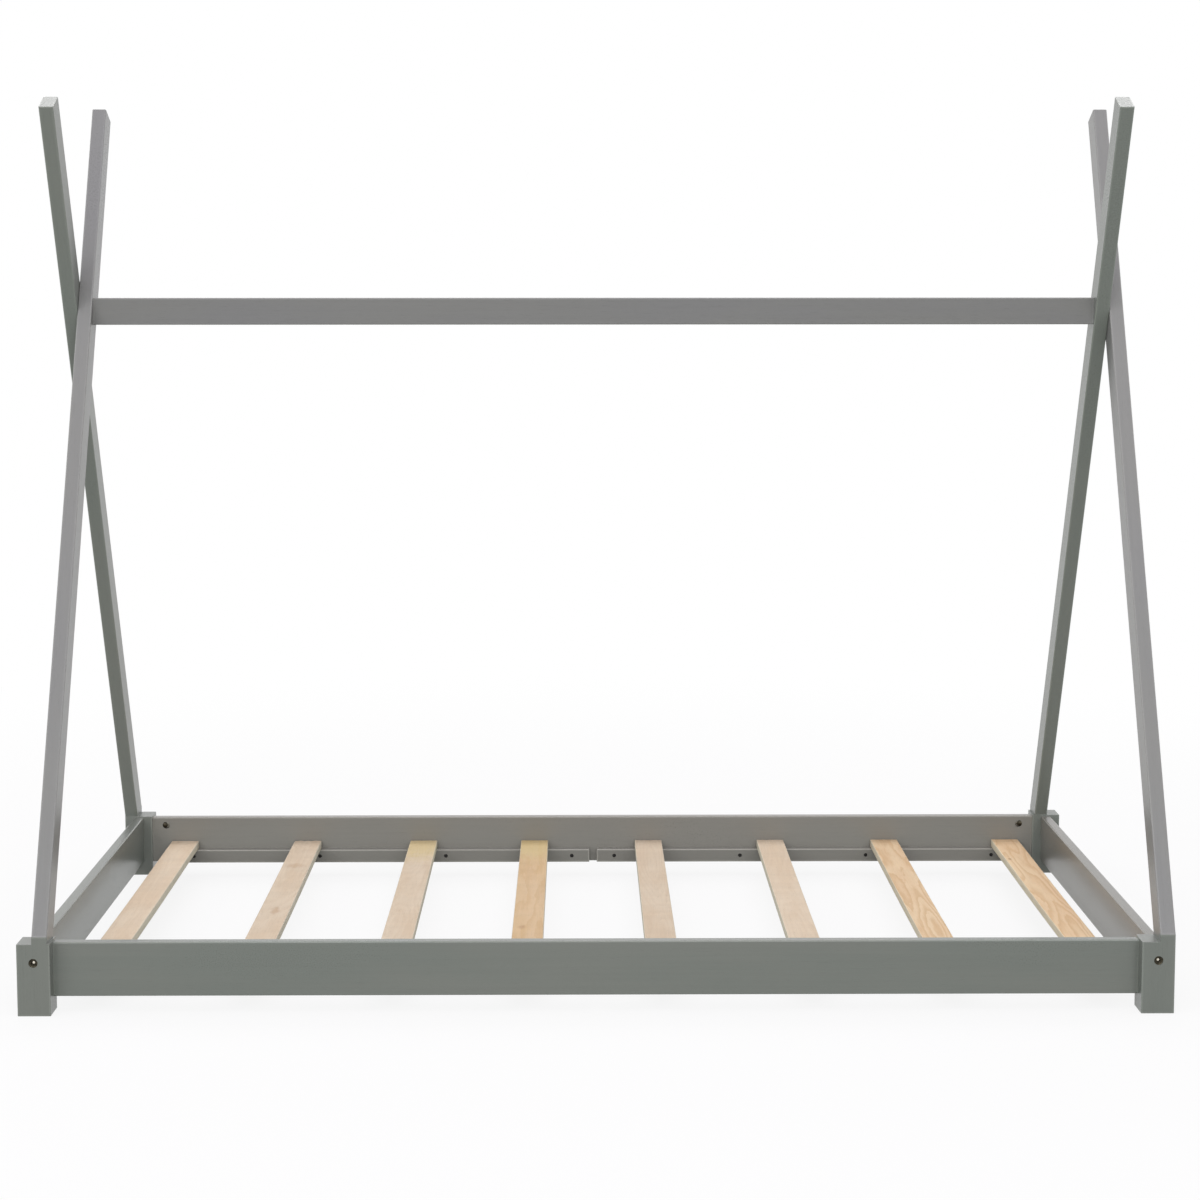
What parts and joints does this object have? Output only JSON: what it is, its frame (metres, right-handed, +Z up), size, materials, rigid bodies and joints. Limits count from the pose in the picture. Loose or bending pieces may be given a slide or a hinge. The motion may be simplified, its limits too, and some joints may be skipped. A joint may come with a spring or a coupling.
{
  "type": "house bed",
  "caption": "Low slatted child's bed with painted timber rails, corner posts, and crossed poles at each end that carry a ridge rail in the form of a tent.",
  "frame": {"origin": "on the floor, under the middle of the bed", "axes": "+X along the bed's length to the right end, +Y from front to back, +Z up"},
  "size_m": [1.39, 0.832, 1.1078],
  "materials": {
    "painted_wood": "matte grey paint",
    "slat_wood": "bare pale wood",
    "fastener_steel": "zinc plated",
    "dowel_wood": "bare hardwood"
  },
  "bodies": {
    "root": {"front_left_post": "painted_wood", "back_left_post": "painted_wood", "front_right_post": "painted_wood", "back_right_post": "painted_wood", "left_inner_pole": "painted_wood", "left_outer_pole": "painted_wood", "right_inner_pole": "painted_wood", "right_outer_pole": "painted_wood", "ridge_rail": "painted_wood", "front_rail": "painted_wood", "back_rail": "painted_wood", "left_end_rail": "painted_wood", "right_end_rail": "painted_wood", "front_left_cleat": "painted_wood", "front_right_cleat": "painted_wood", "back_left_cleat": "painted_wood", "back_right_cleat": "painted_wood", "slat_1": "slat_wood", "slat_2": "slat_wood", "slat_3": "slat_wood", "slat_4": "slat_wood", "slat_5": "slat_wood", "slat_6": "slat_wood", "slat_7": "slat_wood", "slat_8": "slat_wood", "side_rail_bolts": "fastener_steel", "end_rail_bolts": "fastener_steel", "ridge_bolts": "fastener_steel", "side_rail_barrel_nuts": "fastener_steel", "end_rail_barrel_nuts": "fastener_steel", "ridge_barrel_nuts": "fastener_steel", "cleat_screws": "fastener_steel", "side_rail_dowels": "dowel_wood", "end_rail_dowels": "dowel_wood", "ridge_dowels": "dowel_wood", "pole_foot_dowels": "dowel_wood"}
  },
  "joints": []
}
